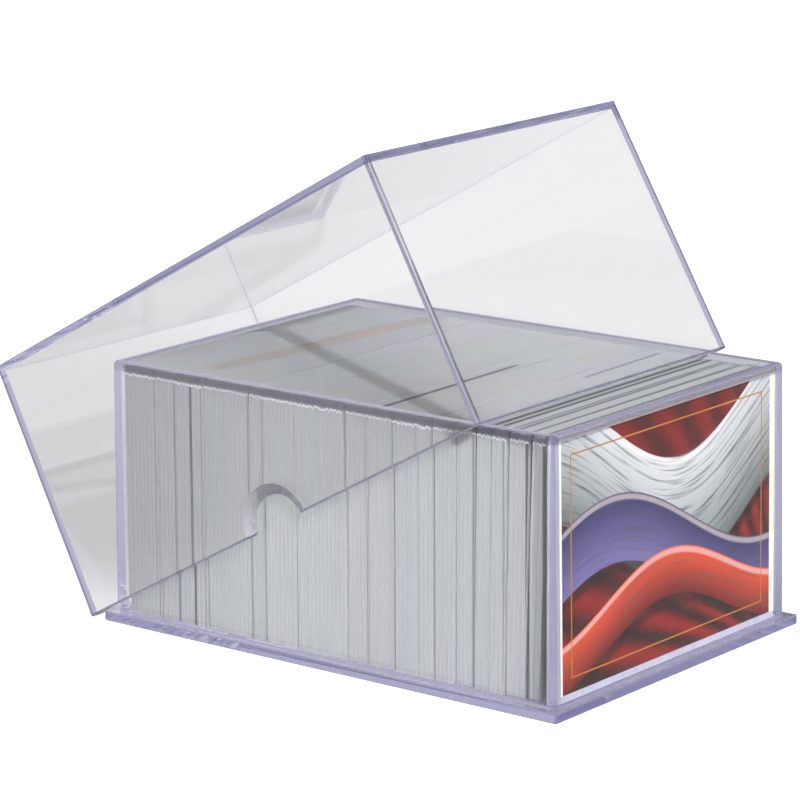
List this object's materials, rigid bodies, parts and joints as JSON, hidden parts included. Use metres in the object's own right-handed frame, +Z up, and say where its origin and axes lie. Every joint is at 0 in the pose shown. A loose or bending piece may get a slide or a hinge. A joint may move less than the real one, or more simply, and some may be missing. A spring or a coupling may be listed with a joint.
{
  "type": "trading card display case",
  "caption": "Clear two-piece card case: a flanged open-top tray holding sleeved trading cards on edge behind a printed insert, and a deep lift-off lid with thumb notches.",
  "frame": {"origin": "middle of the tray's flat underside", "axes": "+X along the row of cards towards the end with the printed insert, +Z up"},
  "size_m": [0.1845, 0.1056, 0.1319],
  "materials": {
    "tray_polystyrene": "clear moulded polystyrene, polished",
    "lid_polystyrene": "clear moulded polystyrene, polished",
    "insert_print": "coated board printed on one face",
    "card_stock": "edges of coated cards in soft sleeves"
  },
  "bodies": {
    "case": {"tray": "tray_polystyrene", "cards_01": "card_stock", "cards_02": "card_stock", "cards_03": "card_stock", "cards_04": "card_stock", "cards_05": "card_stock", "cards_06": "card_stock", "cards_07": "card_stock", "cards_08": "card_stock", "cards_09": "card_stock", "cards_10": "card_stock", "cards_11": "card_stock", "cards_12": "card_stock", "cards_13": "card_stock", "cards_14": "card_stock", "cards_15": "card_stock"},
    "lid": {"lid": "lid_polystyrene"},
    "insert": {"insert": "insert_print"},
    "front_cards": {"cards_16": "card_stock", "cards_17": "card_stock"}
  },
  "joints": [
    {"name": "lid_lift", "type": "slide", "parent": "case", "child": "lid", "axis": [-0.4799, 0, 0.8773], "range_m": [0, 0.085]},
    {"name": "insert_lift", "type": "slide", "parent": "case", "child": "insert", "axis": [0, 0, 1], "range_m": [0, 0.07]},
    {"name": "front_cards_lift", "type": "slide", "parent": "case", "child": "front_cards", "axis": [0.0189, 0, 0.9998], "range_m": [0, 0.07]}
  ]
}
